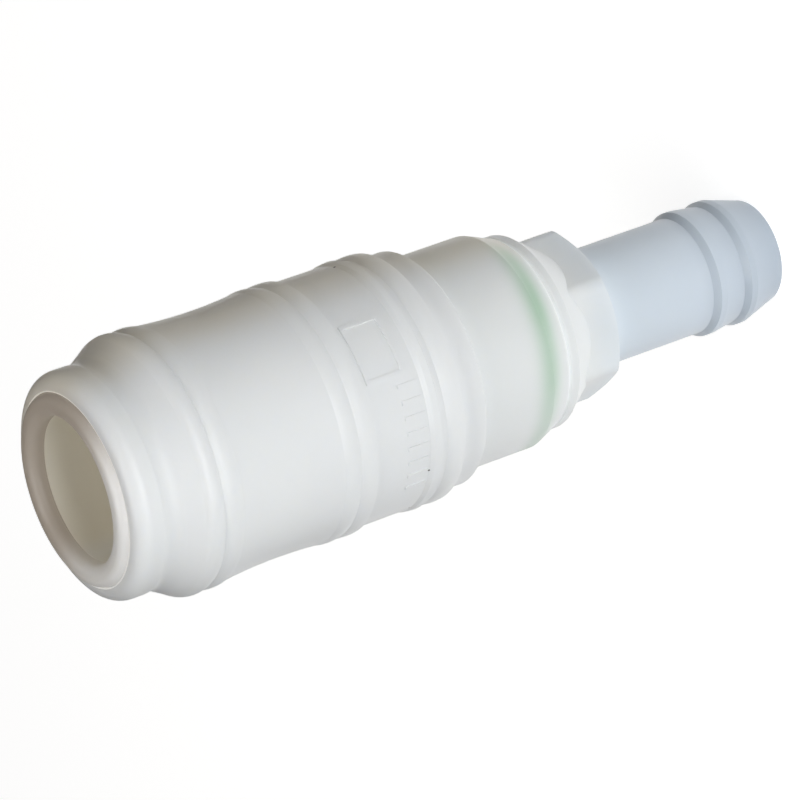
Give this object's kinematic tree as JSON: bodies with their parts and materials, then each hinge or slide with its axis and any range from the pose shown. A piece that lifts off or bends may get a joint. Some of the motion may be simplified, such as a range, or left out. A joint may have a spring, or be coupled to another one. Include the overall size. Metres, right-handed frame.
{
  "type": "quick disconnect coupling",
  "caption": "Plastic quick disconnect coupling: ball-locking socket with a sliding release sleeve, a shut-off valve, a hexagon and a barbed hose end.",
  "frame": {"origin": "centre of the hose barb's end face, on which the coupling stands", "axes": "+Z along the axis from the hose barb to the mouth; X and Y across it"},
  "size_m": [0.0302, 0.0302, 0.0925],
  "materials": {
    "sleeve_plastic": "milky natural plastic, soft gloss",
    "body_plastic": "milky natural plastic, slightly see-through",
    "adaptor_plastic": "bluish milky natural plastic",
    "green_rubber": "smooth",
    "dark_rubber": "smooth",
    "spring_steel": "drawn wire",
    "ball_steel": "polished"
  },
  "bodies": {
    "coupling_body": {"socket_body": "body_plastic", "front_ring": "body_plastic", "hose_adaptor": "adaptor_plastic", "adaptor_seal": "green_rubber", "socket_seal": "dark_rubber", "valve_guide": "adaptor_plastic", "spring_washer": "spring_steel", "sleeve_spring": "spring_steel", "valve_spring": "spring_steel"},
    "sleeve": {"release_sleeve": "sleeve_plastic"},
    "poppet": {"valve_poppet": "sleeve_plastic", "poppet_seal": "dark_rubber"},
    "ball_1": {"locking_ball_1": "ball_steel"},
    "ball_2": {"locking_ball_2": "ball_steel"},
    "ball_3": {"locking_ball_3": "ball_steel"},
    "ball_4": {"locking_ball_4": "ball_steel"},
    "ball_5": {"locking_ball_5": "ball_steel"},
    "ball_6": {"locking_ball_6": "ball_steel"},
    "ball_7": {"locking_ball_7": "ball_steel"},
    "ball_8": {"locking_ball_8": "ball_steel"}
  },
  "joints": [
    {"name": "sleeve_slide", "type": "slide", "parent": "coupling_body", "child": "sleeve", "axis": [0, 0, -1], "range_m": [0, 0.006], "stiffness_N_per_m": 1200, "springref_m": -0.006, "deforming": ["sleeve_spring"]},
    {"name": "valve_slide", "type": "slide", "parent": "coupling_body", "child": "poppet", "axis": [0, 0, -1], "range_m": [0, 0.004], "stiffness_N_per_m": 800, "springref_m": -0.004, "deforming": ["valve_spring"]},
    {"name": "ball_1_slide", "type": "slide", "parent": "coupling_body", "child": "ball_1", "axis": [1, 0, 0], "range_m": [0, 0.0011]},
    {"name": "ball_2_slide", "type": "slide", "parent": "coupling_body", "child": "ball_2", "axis": [0.7071, 0.7071, 0], "range_m": [0, 0.0011]},
    {"name": "ball_3_slide", "type": "slide", "parent": "coupling_body", "child": "ball_3", "axis": [0, 1, 0], "range_m": [0, 0.0011]},
    {"name": "ball_4_slide", "type": "slide", "parent": "coupling_body", "child": "ball_4", "axis": [-0.7071, 0.7071, 0], "range_m": [0, 0.0011]},
    {"name": "ball_5_slide", "type": "slide", "parent": "coupling_body", "child": "ball_5", "axis": [-1, 0, 0], "range_m": [0, 0.0011]},
    {"name": "ball_6_slide", "type": "slide", "parent": "coupling_body", "child": "ball_6", "axis": [-0.7071, -0.7071, 0], "range_m": [0, 0.0011]},
    {"name": "ball_7_slide", "type": "slide", "parent": "coupling_body", "child": "ball_7", "axis": [0, -1, 0], "range_m": [0, 0.0011]},
    {"name": "ball_8_slide", "type": "slide", "parent": "coupling_body", "child": "ball_8", "axis": [0.7071, -0.7071, 0], "range_m": [0, 0.0011]}
  ],
  "couplings": [
    {"joint": "ball_1_slide", "follows": "sleeve_slide", "ratio": 0.18333},
    {"joint": "ball_2_slide", "follows": "sleeve_slide", "ratio": 0.18333},
    {"joint": "ball_3_slide", "follows": "sleeve_slide", "ratio": 0.18333},
    {"joint": "ball_4_slide", "follows": "sleeve_slide", "ratio": 0.18333},
    {"joint": "ball_5_slide", "follows": "sleeve_slide", "ratio": 0.18333},
    {"joint": "ball_6_slide", "follows": "sleeve_slide", "ratio": 0.18333},
    {"joint": "ball_7_slide", "follows": "sleeve_slide", "ratio": 0.18333},
    {"joint": "ball_8_slide", "follows": "sleeve_slide", "ratio": 0.18333}
  ]
}
